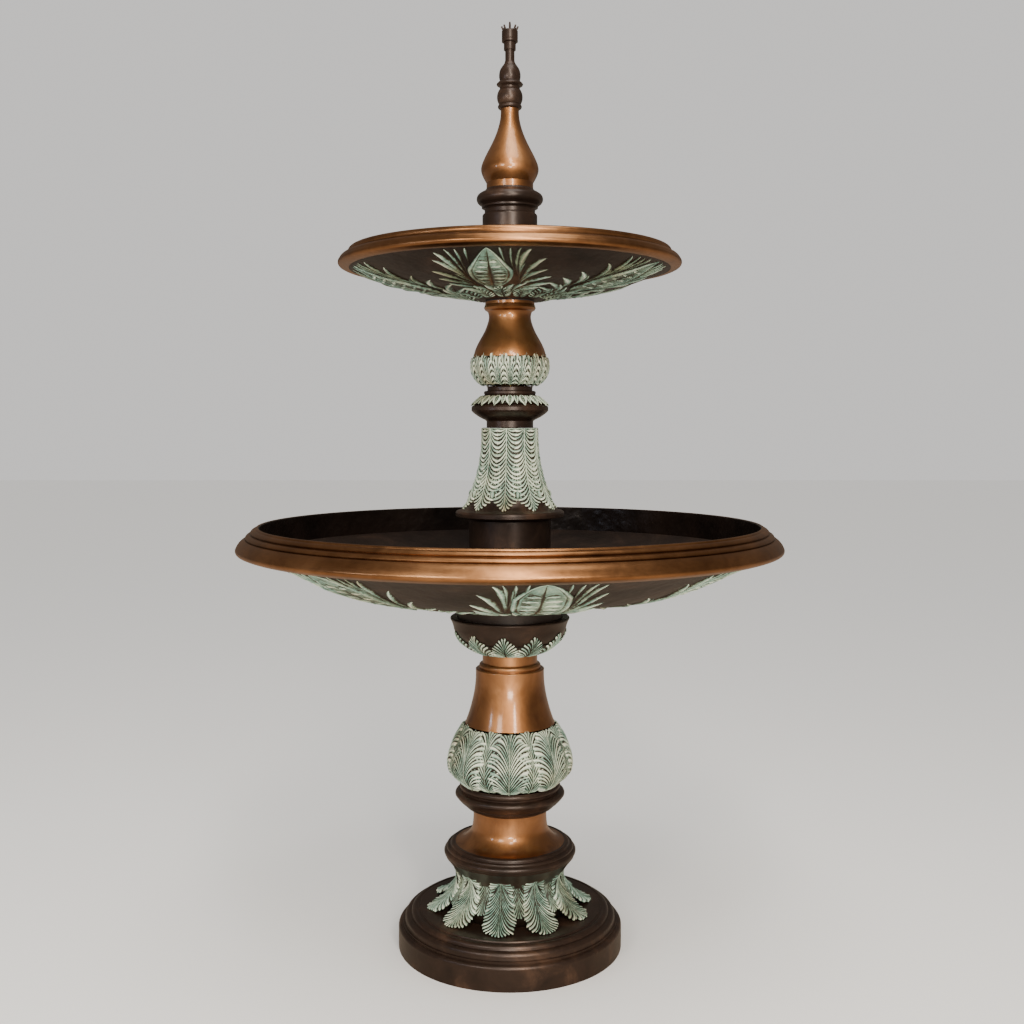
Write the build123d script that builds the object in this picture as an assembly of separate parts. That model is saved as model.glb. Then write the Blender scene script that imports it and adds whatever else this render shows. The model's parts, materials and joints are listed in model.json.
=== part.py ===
"""Tiered garden fountain: hollow bronze castings stacked on one supply pipe, two bowls and a jet crown.

Millimetres, +Z up. The origin is the centre of the plinth's foot, on the ground.
An outline is a half section in (radius, height), turned about Z.
"""
from build123d import *
from math import radians, sin
import os

# Driving heights: where each casting sits on the one below it
plinth_top = 112
skirt_top = 216
torus_top = 304
drum_top = 400
double_ring_top = 478
bulb_top = 652
bell_top = 812
neck_ring_top = 858
cup_seat = 952
lower_floor = 994
water_collar_top = 1240
column_seat = 1302
column_top = 1502
waist_top = 1594
vase_foot = 1618
vase_bulb_top = 1700
vase_neck_top = 1855
upper_floor = 1866
top_collar_top = 2100
finial_foot = 2168
pear_top = 2388
finial_ring_top = 2401
knob_top = 2448
disc_top = 2465
stem_top = 2549
clamp_top = 2569.5
crown_top = 2603
total_height = 2626

# Driving radii
plinth_r = 324.5
plate_r = 262
collar_r = 117
flange_r = 155
waist_r = 109.2
cup_r = 171.5
foot_ring_r = 150
lower_lip_r = 703
lower_rim_r = 767.5
upper_lip_r = 441
upper_rim_r = 480
top_collar_r = 77.2

# Walls and fits
wall = 7
bowl_wall = 7
gasket = 3
seat_gap = 0.5
thread_gap = 0.02
turn_gap = 0.05
crown_lift = 0.3

# Supply pipe, 1 1/2 inch, and the 1/2 inch riser of the finial
pipe_r = 24.15
pipe_bore_r = 20.45
inlet_thread_r = 23.9
inlet_thread_length = 40
pipe_foot = 24
pipe_hole_r = 24.65
riser_r = 10.65
riser_bore_r = 7.85
riser_hole_r = 10.9
lower_pipe_top = 1047
upper_pipe_top = 1990
riser_foot = 2010
riser_top = 2588

# Lock nuts, washers and seals on the supply pipe
nut_across_flats = 76
nut_height = 16
washer_r = 55
washer_height = 4
seal_r = 52

# Leaves
skirt_leaves = 10
cup_leaves = 11
column_leaves = 10
waist_leaves = 16
lower_palmette_count = 7
upper_palmette_count = 5
skirt_turn = -9.5
cup_turn = -6.3
column_turn = -7
lower_palmette_turn = 8
upper_palmette_turn = -9
front = -90

# Undersides of the two bowls, from the foot to the rim
lower_dish = [(foot_ring_r, 987), (300, 1016), (430, 1040), (540, 1072), (640, 1118), (714, 1148)]
upper_dish = [(85, 1859), (160, 1877), (300, 1899), (363, 1915), (409, 1932), (450, 1945)]
palmette_depth = 8
lower_edge = 1151
upper_edge = 1950

# Jet crown
jet_count = 8
jet_r = 3
jet_bore_r = 0.8
jet_ring_r = 17
jet_lean = 25
jet_length = 14
spigot_r = 1.9
spigot_top = 1.2
crown_r = 22.4


def at(point):
    """A (radius, height) point placed in the section plane."""
    return Vector(point[0], 0, point[1])


def section(start, *steps):
    """Closed face from start: a point is a straight run, two points an arc, more points a smooth curve."""
    edges = []
    here = start
    for step in steps + (start,):
        if isinstance(step, list) and len(step) == 2:
            edges.append(ThreePointArc(at(here), at(step[0]), at(step[1])))
            here = step[-1]
        elif isinstance(step, list):
            edges.append(Spline(*[at(p) for p in [here] + step]))
            here = step[-1]
        elif step != here:
            edges.append(Line(at(here), at(step)))
            here = step
    return Face(Wire(edges))


def turned(start, *steps):
    """Solid of revolution about Z from a closed half section."""
    return revolve(section(start, *steps), Axis.Z, 360)


def tube(inner_r, outer_r, low, high):
    """Plain ring or pipe between two heights."""
    return turned((inner_r, low), (outer_r, low), (outer_r, high), (inner_r, high))


def raised(points, rise):
    """The same outline points, moved up by rise."""
    return [(r, z + rise) for r, z in points]


def around(solid, count, turn=0):
    """count copies of a solid that lies towards +X, the first one turned from the front."""
    return [Rot(0, 0, front + turn + i * 360 / count) * solid for i in range(count)]


def leaf_notches(count, turn, inner_r, outer_r, valley, tip):
    """Wedges between pointed leaves: narrow at the valley height, a full leaf wide at the tip height."""
    half = (inner_r + outer_r) / 2 * sin(radians(180 / count))
    triangle = Polyline((inner_r, 0, valley), (inner_r, half, tip), (inner_r, -half, tip), close=True)
    wedge = extrude(make_face(triangle), outer_r - inner_r, dir=(1, 0, 0))
    return around(wedge, count, turn + 180 / count)


def lock_nut(foot):
    """Hexagon nut on the supply pipe."""
    hexagon = RegularPolygon(nut_across_flats / 2, 6, major_radius=False) - Circle(pipe_r + thread_gap)
    return Pos(0, 0, foot) * extrude(hexagon, nut_height)


# Base and pedestal

def base_plinth():
    """Stepped round plinth, hollow below, with a flat plate that the pedestal stands on."""
    z = plinth_top
    return turned(
        (plinth_r, 0), (plinth_r, 58), [(322.5, 66), (315, 70)], (311, 71), (311, 77), (306, 78), (305, 85),
        [(301.5, 94.5), (292, 98)], (288, 98), (287, 101), [(283, 107.5), (274, 110)], (269, 108.5),
        (264, 109), (plate_r, z), (pipe_hole_r, z), (pipe_hole_r, z - 8), (255, z - 8), (296, 80),
        (plinth_r - 10, 50), (plinth_r - 10, 0))


def base_leaf_skirt():
    """Ring of drooping acanthus leaves whose round tips lie on the plinth's plate."""
    z = plinth_top
    shell = turned(
        (244, z), (244, z + 5), [(205, 131), (176, 158), (160, 183), (154.5, skirt_top)],
        (147, skirt_top), [(153, 181), (168, 154), (186, z)])
    leaf = Pos(200, 0) * Ellipse(44, 41)
    plan = Circle(176) + around(leaf, skirt_leaves, skirt_turn)
    return shell & Pos(0, 0, z - 1) * extrude(plan, skirt_top)


def base_torus_ring():
    """Heavy round moulding with two beads on its shoulder."""
    return turned(
        (143, skirt_top), (154, skirt_top), [(173, 246), (187, 264)], (189, 270), [(191.5, 277), (188, 284)],
        (184, 287), [(182, 294), (175, 295)], (172, 299), [(168, 304), (162, torus_top)],
        (148, torus_top), (148, 296), (168, 289), (177, 277), (166, 252), (143, 224))


def lower_drum():
    """Polished drum with a flared foot."""
    return turned(
        (158, torus_top), [(142, 308), (125, 321), (112, 338), (107.5, 358), (106, 382), (106.5, drum_top)],
        (99, drum_top), (99, 362), (108, 330), (140, torus_top))


def pedestal_double_ring():
    """Dished ring under the leaf bulb, with a bead above it."""
    return turned(
        (92, drum_top), (109, drum_top), (115, 404), [(126, 409), (133, 418)], (134, 421), (139, 421),
        [(150, 432), (158.4, 443)], [(158, 449), (150, 455)], (142, 457), (142, 460),
        [(146, 468), (142, 476)], (142, double_ring_top), (128, double_ring_top), (128, 462), (146, 446),
        (132, 430), (92, 408))


def pedestal_leaf_bulb():
    """Large bulb covered in acanthus leaves."""
    return turned(
        (143, double_ring_top),
        [(158, 492), (174, 511), (181, 535), (177.5, 563), (164.5, 600), (143, 640), (135.5, bulb_top)],
        (121, bulb_top), (121, 642), (152, 600), (167, 560), (170, 535), (162, 514), (134, double_ring_top))


def pedestal_bell():
    """Polished bell that rises out of the leaf bulb."""
    return turned(
        (129.5, bulb_top), [(119.5, 679), (109.3, 715), (102, 751), (98.6, 787), (98.5, 807)],
        [(97.8, 810.8), (95, bell_top)], (72, bell_top), (72, 805), (91, 800), (95, 751), (112, 679),
        (121.5, bulb_top))


def pedestal_neck_ring():
    """Short polished neck with a bead at its foot."""
    return turned(
        (72, bell_top), (88, bell_top), (88.8, 818), [(86.5, 825), (80, 828)], (79, 830), (79, neck_ring_top),
        (72, neck_ring_top))


def support_cup():
    """Cup that carries the lower bowl on a ledge inside its rim."""
    return turned(
        (72, neck_ring_top), (84, neck_ring_top), [(122, 878), (144, 897), (156, 914), (161.5, 928)],
        [(165, 942), (cup_r, 956)], [(170.5, 960), (166, 961)], (foot_ring_r + 2, 961),
        (foot_ring_r + 2, cup_seat), (138, cup_seat), (138, 944), (152, 938), (148, 918), (136, 902),
        (112, 882), (72, 866))


def support_cup_leaves():
    """Leaf collar that wraps the underside of the support cup, tips up."""
    band = turned(
        (86, neck_ring_top), (90, neck_ring_top - 1),
        [(126, 875), (148, 894.5), (160.5, 912), (165.5, 928)],
        (161.5 + seat_gap, 928), [(156 + seat_gap, 914), (144 + seat_gap, 897), (122 + seat_gap, 878),
                                  (86, neck_ring_top)])
    return band - leaf_notches(cup_leaves, cup_turn, 120, 180, 896, 929)


# Lower bowl

def lower_bowl():
    """Wide shallow dish with a foot ring, a level edge for the rim and a centre hole for the pipe."""
    inside = raised(lower_dish[::-1], bowl_wall)
    edge_r = lower_dish[-1][0]
    return turned(
        (foot_ring_r - 10, cup_seat + gasket), (foot_ring_r, cup_seat + gasket), lower_dish[0],
        lower_dish[1:], (edge_r, lower_edge), (lower_lip_r - 2, lower_edge), (690, 1147),
        inside[1:-1] + [(foot_ring_r, lower_floor)],
        (pipe_hole_r, lower_floor), (pipe_hole_r, lower_floor - bowl_wall),
        (foot_ring_r - 10, lower_floor - bowl_wall))


def lower_bowl_rim():
    """Copper-toned hollow rim round the lower bowl, with the bowl's upright inner wall."""
    edge_r = lower_dish[-1][0]
    wall_r = lower_lip_r + bowl_wall
    return turned(
        (edge_r, lower_edge - 4), [(742, 1150), (762, 1157)], [(lower_rim_r, 1163), (766.5, 1172)],
        [(757, 1187), (744, 1198)], (741, 1201), [(737, 1207), (729, 1211)], (727, 1215),
        [(722, 1221), (714, 1224)], [(709, 1229), (lower_lip_r, 1226)], (lower_lip_r, lower_edge),
        (wall_r, lower_edge), (wall_r, 1217), (734, 1199), (757, 1174), (757, 1166),
        (edge_r, lower_edge + 4))


def palmette_relief(dish, centre, length, width, count, turn):
    """Fan leaves that lie against a bowl's underside."""
    lower = raised(dish, -palmette_depth)
    layer = turned(dish[0], dish[1:], lower[-1], lower[::-1][1:])
    fan = Pos(centre, 0, dish[0][1] - 2 * palmette_depth) * extrude(Ellipse(length, width), 400)
    return [layer & piece for piece in around(fan, count, turn)]


def lower_bowl_palmettes():
    """Seven broad palmettes under the lower bowl."""
    return palmette_relief(lower_dish, 435, 245, 165, lower_palmette_count, lower_palmette_turn)


# Column between the bowls

def water_collar():
    """Plain cylinder that stands in the lower bowl's water."""
    return tube(collar_r - wall, collar_r, lower_floor, water_collar_top)


def column_flange():
    """Broad flange and flare under the leaf column."""
    return turned(
        (collar_r - wall, water_collar_top), (collar_r, water_collar_top), [(130, 1246), (148, 1248)],
        (flange_r, 1251), (flange_r, 1260), [(152, 1265), (145, 1267)], [(126, 1279), (115, column_seat)],
        (103, column_seat), (114, 1270), (collar_r - wall, 1256))


def column_leaf_shell():
    """Slender flared sleeve of hanging feather leaves."""
    shell = turned(
        (80.5, column_top), [(80.7, 1462), (86, 1410), (97, 1362), (109, 1325), (121.6, 1296), (141, 1271)],
        (136, 1271), [(124, 1285), (115.5, column_seat)], (103, column_seat), (92, 1348), (80, 1405),
        (74, 1462), (74, column_top))
    return shell - leaf_notches(column_leaves, column_turn, 117, 160, 1300, 1270)


def waist_ring():
    """Sharp-edged dark ring on a short neck."""
    return turned(
        (58, column_top), (66.3, column_top), (66.3, 1520), (71.5, 1524), [(89, 1533), (106.3, 1546)],
        (waist_r, 1550), (waist_r, 1559), (107, 1563), [(88, 1577), (76, 1591)], (73, waist_top),
        (58, waist_top), (58, 1586), (96, 1560), (96, 1552), (58, 1530))


def waist_leaf_collar():
    """Small leaves that hang over the waist ring."""
    band = turned(
        (107 + seat_gap, 1563), [(88 + seat_gap, 1577), (76 + seat_gap, 1591)], (80, 1591.5),
        [(92.5, 1580), (109, 1564.5)])
    return band - leaf_notches(waist_leaves, 0, 92, 120, 1571, 1562.5)


def vase_foot_rings():
    """Two plain rings under the vase."""
    return turned(
        (54, waist_top), (71, waist_top), (73.6, 1597), (73.6, 1603), (71, 1605), (64, 1606),
        (64, 1615), (67, vase_foot), (54, vase_foot))


def vase_leaf_bulb():
    """Rounded bulb of narrow upright leaves."""
    return turned(
        (67, vase_foot), (75, vase_foot + 2), [(92, 1632), (104, 1648), (111, 1672), (108, 1697)],
        (105, vase_bulb_top), (93, vase_bulb_top), (100, 1672), (93, 1648), (64, 1628), (54, vase_foot))


def vase_neck():
    """Polished vase with a beaded collar under the upper bowl."""
    return turned(
        (103, vase_bulb_top),
        [(100, 1715), (84.7, 1749), (72.4, 1771), (63.3, 1794), (59.4, 1815), (63, 1828)],
        (70, 1832), (73.3, 1838), (71, 1845), (69.7, 1848), (69.7, vase_neck_top), (60, vase_neck_top),
        (60, 1832), (52, 1815), (56, 1792), (78, 1747), (94, vase_bulb_top))


# Upper bowl

def upper_bowl():
    """Smaller dish, built like the lower one, that stands flat on the vase's neck."""
    foot = vase_neck_top + gasket
    inside = raised(upper_dish[::-1], bowl_wall)
    edge_r = upper_dish[-1][0]
    return turned(
        (pipe_hole_r, foot), upper_dish[0], upper_dish[1:], (edge_r, upper_edge),
        (upper_lip_r - 2, upper_edge), (430, 1947), inside[2:-1] + [(85, upper_floor)],
        (pipe_hole_r, upper_floor))


def upper_bowl_rim():
    """Copper-toned hollow rim round the upper bowl, with the bowl's upright inner wall."""
    edge_r = upper_dish[-1][0]
    wall_r = upper_lip_r + 6
    return turned(
        (edge_r, 1944.5), [(464, 1945), (474, 1949)], [(upper_rim_r, 1955), (477.5, 1965)],
        [(472, 1973), (462, 1978)], (454, 1980), (452, 1984), [(451, 1993), (upper_lip_r + 3, 1997)],
        (upper_lip_r, 1995), (upper_lip_r, upper_edge), (wall_r, upper_edge), (wall_r, 1976),
        (467, 1967), (471, 1957), (edge_r, upper_edge + 3))


def upper_bowl_palmettes():
    """Five smaller palmettes under the upper bowl."""
    return palmette_relief(upper_dish, 275, 160, 140, upper_palmette_count, upper_palmette_turn)


# Finial

def top_collar():
    """Plain dark cylinder that stands in the upper bowl."""
    return turned(
        (top_collar_r - 6, upper_floor), (top_collar_r, upper_floor), (top_collar_r, 2093),
        [(75, 2098), (71, top_collar_top)], (60, top_collar_top), (60, 2092), (top_collar_r - 6, 2084))


def finial_base_ring():
    """Round moulding that carries the pear."""
    return turned(
        (60, top_collar_top), (71, top_collar_top), (71, 2110), [(74, 2114), (79, 2116)], (79, 2121),
        (84, 2125), [(93.3, 2139), (86.5, 2154)], [(78, 2159), (70, 2163)], (67, finial_foot),
        (58, finial_foot), (58, 2160), (82, 2147), (82, 2131), (60, 2112))


def finial_pear():
    """Polished pear-shaped body that narrows to a long neck."""
    return turned(
        (58, finial_foot), (65.6, finial_foot), (65.6, 2185),
        [(74, 2200), (80.8, 2222), (75.9, 2242), (59.8, 2275), (43, 2309), (31.2, 2342), (26.3, 2366),
         (25.6, pear_top)],
        (18, pear_top), (19, 2360), (26, 2335), (54, 2275), (74, 2222), (58, 2186))


def finial_ring():
    """Small half-round ring on the pear's neck."""
    return turned(
        (riser_hole_r, pear_top), (28, pear_top), [(33.5, 2394), (28, finial_ring_top)],
        (riser_hole_r, finial_ring_top))


def finial_knob():
    """Round dark knob."""
    return turned(
        (18, finial_ring_top), (30, finial_ring_top), [(35.8, 2419), (28, knob_top - 5)], (28, knob_top),
        (18, knob_top), (18, 2440), (28, 2425), (28, 2414))


def finial_disc():
    """Thin sharp-edged disc between knob and bulb."""
    return turned(
        (riser_hole_r, knob_top), (28, knob_top), (36, 2453), (37.2, 2455.5), (36, 2457.5),
        (28.5, disc_top), (riser_hole_r, disc_top))


def finial_bulb():
    """Small bulb drawn up into the stem that carries the jet crown."""
    return turned(
        (20, disc_top), (27.5, disc_top), [(30, 2481), (25.1, 2499), (16.8, 2511), (13, 2524)],
        (13, stem_top), (riser_hole_r, stem_top), (riser_hole_r, 2518), (22, 2495), (24, 2480))


def finial_clamp():
    """Round clamping nut on the riser that holds the finial castings down."""
    return tube(riser_r + thread_gap, 16.7, stem_top, clamp_top)


# Jet crown, which turns on the riser

def crown_head():
    """Cap with a water chamber over the riser's end, a seal groove and seats for the jets."""
    foot = clamp_top + crown_lift
    body = turned(
        (riser_r + turn_gap, foot), (20.5, foot), (crown_r, foot + 1.5), (crown_r, 2577), (21.6, 2578),
        (crown_r, 2579), (crown_r, 2600), (20.5, crown_top), (jet_r / 2, crown_top), (jet_r / 2, 2598),
        (17, 2598), (17, 2590), (riser_r + turn_gap, 2590), (riser_r + turn_gap, 2583), (13.4, 2583),
        (13.4, 2580), (riser_r + turn_gap, 2580))
    return body - [Rot(0, 0, i * 360 / jet_count) * jet_seat() for i in range(jet_count)]


def jet_cylinder(r, low, length):
    """Cylinder on a jet's own axis, before it is placed."""
    return Pos(0, 0, low) * Cylinder(r, length, align=(Align.CENTER, Align.CENTER, Align.MIN))


def jet_placed(solid):
    """A shape built about Z, stood on the crown's edge and leaned outwards."""
    return Pos(jet_ring_r, 0, crown_top - 2) * Rot(0, jet_lean, 0) * solid


def jet_seat():
    """Sloping hole for one jet, down into the water chamber, with a flat for its shoulder."""
    return jet_placed(jet_cylinder(spigot_r, -6, 20) + jet_cylinder(jet_r + 0.5, spigot_top, 8))


def crown_jets():
    """Short jets that lean outwards round the crown."""
    spigot = jet_cylinder(spigot_r, -3, spigot_top + 3)
    length = jet_length - spigot_top
    nipple = Pos(0, 0, spigot_top + length / 2) * Cone(jet_r, jet_r * 0.75, length)
    jet = jet_placed(spigot + nipple - jet_cylinder(jet_bore_r, -6, 30))
    return [Rot(0, 0, i * 360 / jet_count) * jet for i in range(jet_count)]


def centre_jet():
    """Taller jet in the middle of the crown."""
    return turned(
        (0.7, 2599), (jet_r / 2, 2599), (jet_r / 2, crown_top), (jet_r + 1, crown_top), (jet_r + 1, 2608),
        (jet_r, 2610), (jet_r, 2619), (2.2, total_height), (0.7, total_height))


def crown_seal():
    """Rubber ring in the crown's groove, round the riser."""
    return tube(riser_r + turn_gap, 13.4, 2580, 2583)


# Pipework and fasteners inside

def supply_pipe_lower():
    """Supply pipe from the inlet thread in the hollow plinth to the coupling in the lower bowl."""
    shoulder = pipe_foot + inlet_thread_length
    return turned(
        (pipe_bore_r, pipe_foot), (inlet_thread_r, pipe_foot), (inlet_thread_r, shoulder),
        (pipe_r, shoulder), (pipe_r, lower_pipe_top), (pipe_bore_r, lower_pipe_top))


def supply_pipe_upper():
    """Supply pipe from the coupling up through the upper bowl."""
    return tube(pipe_bore_r, pipe_r, lower_pipe_top, upper_pipe_top)


def pipe_coupling():
    """Sleeve that joins the two supply pipes."""
    return tube(pipe_r + thread_gap, 31, lower_pipe_top - 25, lower_pipe_top + 25)


def pipe_reducer():
    """Reducing socket from the supply pipe to the riser."""
    grip = upper_pipe_top - 20
    return turned(
        (pipe_r + thread_gap, grip), (31, grip), (31, riser_foot),
        (17, riser_foot + 8), (17, riser_foot + 24),
        (riser_r + thread_gap, riser_foot + 24), (riser_r + thread_gap, riser_foot),
        (riser_bore_r, riser_foot), (riser_bore_r, riser_foot - 4), (pipe_bore_r, upper_pipe_top),
        (pipe_r + thread_gap, upper_pipe_top))


def riser_pipe():
    """Thin riser through the finial to the jet crown."""
    return tube(riser_bore_r, riser_r, riser_foot, riser_top)


def clamp_stack(floor):
    """Seal, washer and lock nut that hold a bowl down, in that order upwards from its floor."""
    washer_foot = floor + gasket
    nut_foot = washer_foot + washer_height
    seal = tube(pipe_r + thread_gap, seal_r, floor, washer_foot)
    washer = tube(pipe_hole_r, washer_r, washer_foot, nut_foot)
    return seal, washer, lock_nut(nut_foot)


def base_washer():
    """Washer under the plinth's plate."""
    plate_foot = plinth_top - 8
    return tube(pipe_hole_r, washer_r, plate_foot - washer_height, plate_foot)


def base_lock_nut():
    """Nut that pulls the pedestal down onto the plinth."""
    return lock_nut(plinth_top - 8 - washer_height - nut_height)


def support_cup_gasket():
    """Rubber ring between the support cup's ledge and the lower bowl's foot."""
    return tube(138, foot_ring_r, cup_seat, cup_seat + gasket)


def upper_bowl_gasket():
    """Rubber ring between the vase's neck and the upper bowl."""
    return tube(60, 69, vase_neck_top, vase_neck_top + gasket)


lower_seal, lower_washer, lower_nut = clamp_stack(lower_floor)
upper_seal, upper_washer, upper_nut = clamp_stack(upper_floor)

nodes = {
    "base_plinth": base_plinth(),
    "base_leaf_skirt": base_leaf_skirt(),
    "base_torus_ring": base_torus_ring(),
    "lower_drum": lower_drum(),
    "pedestal_double_ring": pedestal_double_ring(),
    "pedestal_leaf_bulb": pedestal_leaf_bulb(),
    "pedestal_bell": pedestal_bell(),
    "pedestal_neck_ring": pedestal_neck_ring(),
    "support_cup": support_cup(),
    "support_cup_leaves": support_cup_leaves(),
    "support_cup_gasket": support_cup_gasket(),
    "lower_bowl": lower_bowl(),
    "lower_bowl_rim": lower_bowl_rim(),
    "lower_bowl_palmettes": lower_bowl_palmettes(),
    "lower_bowl_seal": lower_seal,
    "lower_bowl_washer": lower_washer,
    "lower_bowl_lock_nut": lower_nut,
    "water_collar": water_collar(),
    "column_flange": column_flange(),
    "column_leaf_shell": column_leaf_shell(),
    "waist_ring": waist_ring(),
    "waist_leaf_collar": waist_leaf_collar(),
    "vase_foot_rings": vase_foot_rings(),
    "vase_leaf_bulb": vase_leaf_bulb(),
    "vase_neck": vase_neck(),
    "upper_bowl_gasket": upper_bowl_gasket(),
    "upper_bowl": upper_bowl(),
    "upper_bowl_rim": upper_bowl_rim(),
    "upper_bowl_palmettes": upper_bowl_palmettes(),
    "upper_bowl_seal": upper_seal,
    "upper_bowl_washer": upper_washer,
    "upper_bowl_lock_nut": upper_nut,
    "top_collar": top_collar(),
    "finial_base_ring": finial_base_ring(),
    "finial_pear": finial_pear(),
    "finial_ring": finial_ring(),
    "finial_knob": finial_knob(),
    "finial_disc": finial_disc(),
    "finial_bulb": finial_bulb(),
    "finial_clamp": finial_clamp(),
    "crown_head": crown_head(),
    "crown_jets": crown_jets(),
    "centre_jet": centre_jet(),
    "crown_seal": crown_seal(),
    "supply_pipe_lower": supply_pipe_lower(),
    "supply_pipe_upper": supply_pipe_upper(),
    "pipe_coupling": pipe_coupling(),
    "pipe_reducer": pipe_reducer(),
    "riser_pipe": riser_pipe(),
    "base_washer": base_washer(),
    "base_lock_nut": base_lock_nut(),
}

os.makedirs("parts", exist_ok=True)
for name, shape in nodes.items():
    solids = [s for piece in (shape if isinstance(shape, list) else [shape]) for s in piece.solids()]
    export_step(Compound(solids) if len(solids) > 1 else solids[0], f"parts/{name}.step")
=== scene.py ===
"""Looks of the tiered fountain: leaf castings as real relief, bronze and verdigris materials, studio."""
import json
import math

import bpy
import numpy as np
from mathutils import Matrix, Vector
from mathutils.bvhtree import BVHTree


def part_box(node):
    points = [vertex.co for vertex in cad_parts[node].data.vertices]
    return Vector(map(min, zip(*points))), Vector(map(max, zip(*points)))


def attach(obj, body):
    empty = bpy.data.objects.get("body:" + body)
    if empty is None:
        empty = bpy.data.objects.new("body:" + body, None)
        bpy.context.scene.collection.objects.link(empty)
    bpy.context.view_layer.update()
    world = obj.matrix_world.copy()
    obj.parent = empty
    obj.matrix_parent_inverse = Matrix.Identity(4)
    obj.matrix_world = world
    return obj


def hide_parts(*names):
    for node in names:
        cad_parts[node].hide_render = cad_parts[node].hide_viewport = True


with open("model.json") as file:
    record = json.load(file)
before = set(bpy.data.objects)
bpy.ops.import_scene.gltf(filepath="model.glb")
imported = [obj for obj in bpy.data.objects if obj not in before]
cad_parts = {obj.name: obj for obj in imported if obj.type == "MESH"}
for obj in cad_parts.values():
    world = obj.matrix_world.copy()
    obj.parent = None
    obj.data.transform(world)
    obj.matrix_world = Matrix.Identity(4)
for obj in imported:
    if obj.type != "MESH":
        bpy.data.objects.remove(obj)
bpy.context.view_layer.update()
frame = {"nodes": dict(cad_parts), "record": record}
nodes = frame["nodes"]
MM = 0.001
FRONT = -math.pi / 2

# The camera at the photo's viewing angle: its place in metres, its pitch down in degrees, lens and film in mm
EYE_HEIGHT = 1.504
EYE_DISTANCE = 3.378
EYE_SIDE = 0.006
EYE_PITCH = 4.115
LENS = 41.62
FILM_WIDTH = 36

# Plain pale floor, whose colour in glossy rays is a painted reflection: it shows darker and warmer in the
# bronze's reflections
FLOOR_HALF = 30
PALE_FLOOR = (0.86, 0.85, 0.83, 1)
FLOOR_PAINTED_REFLECTION = (0.38, 0.31, 0.235, 1)

# Sockets of a Mix node that mixes colours
MIX_FACTOR, MIX_A, MIX_B, MIX_RESULT = 0, 6, 7, 2

# Degrees from the front to the first leaf of each ring
SKIRT_TURN = -9.5
CUP_TURN = -6.3
COLUMN_TURN = -7
LOWER_PALMETTE_TURN = 8
UPPER_PALMETTE_TURN = -9


# Camera, floor and lights

def add_camera():
    data = bpy.data.cameras.new("camera")
    data.lens = LENS
    data.sensor_width = FILM_WIDTH
    camera = bpy.data.objects.new("camera", data)
    camera.location = (EYE_SIDE, -EYE_DISTANCE, EYE_HEIGHT)
    camera.rotation_euler = (math.radians(90 - EYE_PITCH), 0, 0)
    bpy.context.scene.collection.objects.link(camera)
    bpy.context.scene.camera = camera


def add_floor():
    mesh = bpy.data.meshes.new("floor")
    corners = [(x * FLOOR_HALF, y * FLOOR_HALF, 0) for x, y in ((-1, -1), (1, -1), (1, 1), (-1, 1))]
    mesh.from_pydata(corners, [], [(0, 1, 2, 3)])
    floor = bpy.data.objects.new("floor", mesh)
    bpy.context.scene.collection.objects.link(floor)
    material = bpy.data.materials.new("floor")
    material.use_nodes = True
    tree = material.node_tree
    shader = tree.nodes["Principled BSDF"]
    shader.inputs["Roughness"].default_value = 0.9
    # Painted reflection: glossy rays see a darker, warmer floor colour than the pale one
    path = tree.nodes.new("ShaderNodeLightPath")
    mix = tree.nodes.new("ShaderNodeMix")
    mix.data_type = "RGBA"
    mix.inputs[MIX_A].default_value = PALE_FLOOR
    mix.inputs[MIX_B].default_value = FLOOR_PAINTED_REFLECTION
    tree.links.new(path.outputs["Is Glossy Ray"], mix.inputs[MIX_FACTOR])
    tree.links.new(mix.outputs[MIX_RESULT], shader.inputs["Base Color"])
    mesh.materials.append(material)


def add_light(name, place, target, size, watts, colour):
    data = bpy.data.lights.new(name, "AREA")
    data.shape = "RECTANGLE"
    data.size = size[0]
    data.size_y = size[1]
    data.energy = watts
    data.color = colour
    light = bpy.data.objects.new(name, data)
    light.location = place
    light.rotation_euler = (Vector(target) - Vector(place)).to_track_quat("-Z", "Y").to_euler()
    light.visible_camera = False
    bpy.context.scene.collection.objects.link(light)


def add_world():
    """Pale surroundings for matt surfaces, a dim room in the bronze's reflections, and a plain backdrop."""
    world = bpy.data.worlds.new("world")
    bpy.context.scene.world = world
    world.use_nodes = True
    tree = world.node_tree
    painted_light = tree.nodes["Background"]
    painted_light.inputs["Color"].default_value = (1.0, 0.985, 0.965, 1)
    painted_light.inputs["Strength"].default_value = 0.92
    dim = tree.nodes.new("ShaderNodeBackground")
    dim.inputs["Color"].default_value = (1.0, 0.86, 0.72, 1)
    dim.inputs["Strength"].default_value = 0.16
    path = tree.nodes.new("ShaderNodeLightPath")
    backdrop = tree.nodes.new("ShaderNodeBackground")
    backdrop.inputs["Color"].default_value = (1.0, 0.975, 0.95, 1)
    backdrop.inputs["Strength"].default_value = 0.80
    last = painted_light
    for ray, surroundings in (("Is Glossy Ray", dim), ("Is Camera Ray", backdrop)):
        mix = tree.nodes.new("ShaderNodeMixShader")
        tree.links.new(path.outputs[ray], mix.inputs["Fac"])
        tree.links.new(last.outputs[0], mix.inputs[1])
        tree.links.new(surroundings.outputs[0], mix.inputs[2])
        last = mix
    tree.links.new(last.outputs[0], tree.nodes["World Output"].inputs["Surface"])


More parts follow.
